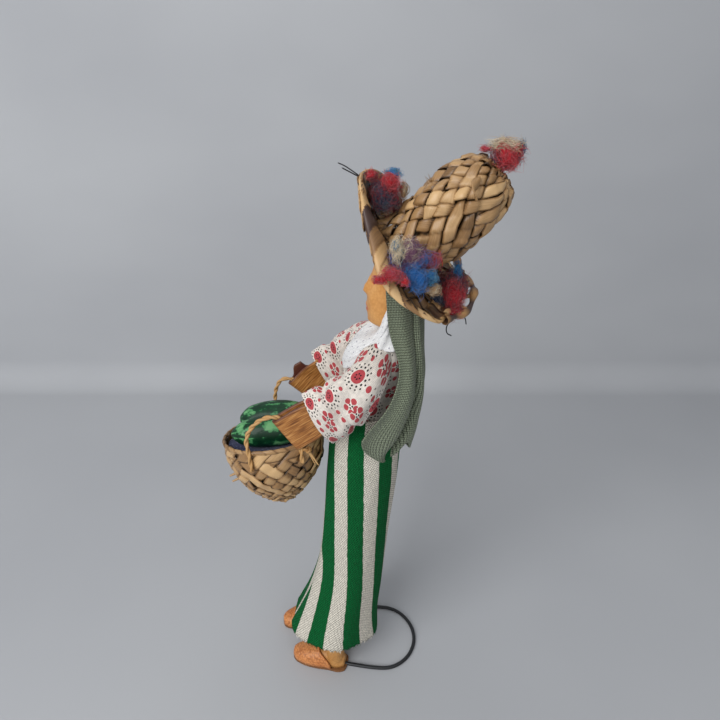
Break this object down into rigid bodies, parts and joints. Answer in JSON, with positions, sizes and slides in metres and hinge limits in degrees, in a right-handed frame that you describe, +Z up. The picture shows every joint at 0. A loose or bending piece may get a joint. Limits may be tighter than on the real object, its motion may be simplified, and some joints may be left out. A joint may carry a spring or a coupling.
{
  "type": "cloth folk doll",
  "caption": "Standing cloth doll of a market woman in a tilted plaited straw hat, gauze veil and striped wrap skirt, holding a palm-leaf basket of melons on a wire loop stand.",
  "frame": {"origin": "on the floor, under the middle of the bounding box", "axes": "+Z up; the doll faces -Y; +X is the doll's left side, the side that the picture shows"},
  "size_m": [0.067, 0.129, 0.288],
  "materials": {
    "wire": "dark drawn steel wire",
    "foot_leather": "smooth tan leather",
    "slipper_leather": "orange grained leather",
    "sole_leather": "brown sole leather",
    "plain_cotton": "undyed cotton",
    "neck_wood": "bare wood",
    "striped_cotton": "hand-woven green and ivory stripes",
    "printed_cotton": "off-white cotton with red flowers",
    "white_cotton": "white cotton",
    "gauze": "sage green gauze",
    "face_leather": "moulded tan leather",
    "hat_straw": "plaited palm leaf",
    "edging_straw": "wrapped palm leaf strips",
    "thread": "black thread",
    "red_wool": "loose dyed wool",
    "blue_wool": "loose dyed wool",
    "hand_leather": "folded tan leather",
    "basket_straw": "plaited palm leaf",
    "palm_rope": "twisted palm leaf",
    "felt": "navy felt",
    "wadding": "loose wadding",
    "melon_paint": "gloss green paint on wood"
  },
  "bodies": {
    "torso": {"stand_wire": "wire", "left_leg": "plain_cotton", "right_leg": "plain_cotton", "left_foot": "foot_leather", "right_foot": "foot_leather", "left_slipper": "slipper_leather", "right_slipper": "slipper_leather", "left_sole": "sole_leather", "right_sole": "sole_leather", "body_core": "plain_cotton", "neck_peg": "neck_wood", "blouse_body": "printed_cotton", "skirt": "striped_cotton", "kerchief": "white_cotton", "veil": "gauze"},
    "head": {"head": "face_leather", "hat_crown": "hat_straw", "hat_brim": "hat_straw", "hat_edging": "edging_straw", "front_tuft": "red_wool", "left_tuft": "blue_wool", "right_tuft": "blue_wool", "back_tuft": "red_wool", "crown_pompom": "red_wool", "front_thread": "thread", "back_thread": "thread"},
    "left_arm": {"left_arm_wire": "plain_cotton", "left_hand": "hand_leather", "left_sleeve": "printed_cotton"},
    "right_arm": {"right_arm_wire": "plain_cotton", "right_hand": "hand_leather", "right_sleeve": "printed_cotton"},
    "basket": {"basket_bowl": "basket_straw", "basket_wad": "wadding", "felt_lining": "felt", "left_melon": "melon_paint", "right_melon": "melon_paint", "left_handle": "palm_rope", "right_handle": "palm_rope"}
  },
  "joints": [
    {"name": "head_turn", "type": "hinge", "parent": "torso", "child": "head", "pos_m": [-0.00004, 0.01519, 0.206], "axis": [0, 0, 1], "range_deg": [-12, 12], "deforming": ["veil"]},
    {"name": "left_shoulder", "type": "hinge", "parent": "torso", "child": "left_arm", "pos_m": [0.017, 0.00889, 0.1965], "axis": [-1, 0, 0], "range_deg": [0, 25]},
    {"name": "right_shoulder", "type": "hinge", "parent": "torso", "child": "right_arm", "pos_m": [-0.017, 0.00889, 0.1965], "axis": [-1, 0, 0], "range_deg": [0, 25]},
    {"name": "basket_rock", "type": "hinge", "parent": "left_arm", "child": "basket", "pos_m": [0.02446, -0.02201, 0.16164], "axis": [-0.9918, 0.0405, -0.1214], "range_deg": [0, 12]}
  ],
  "couplings": [
    {"joint": "right_shoulder", "follows": "left_shoulder", "ratio": 1}
  ]
}
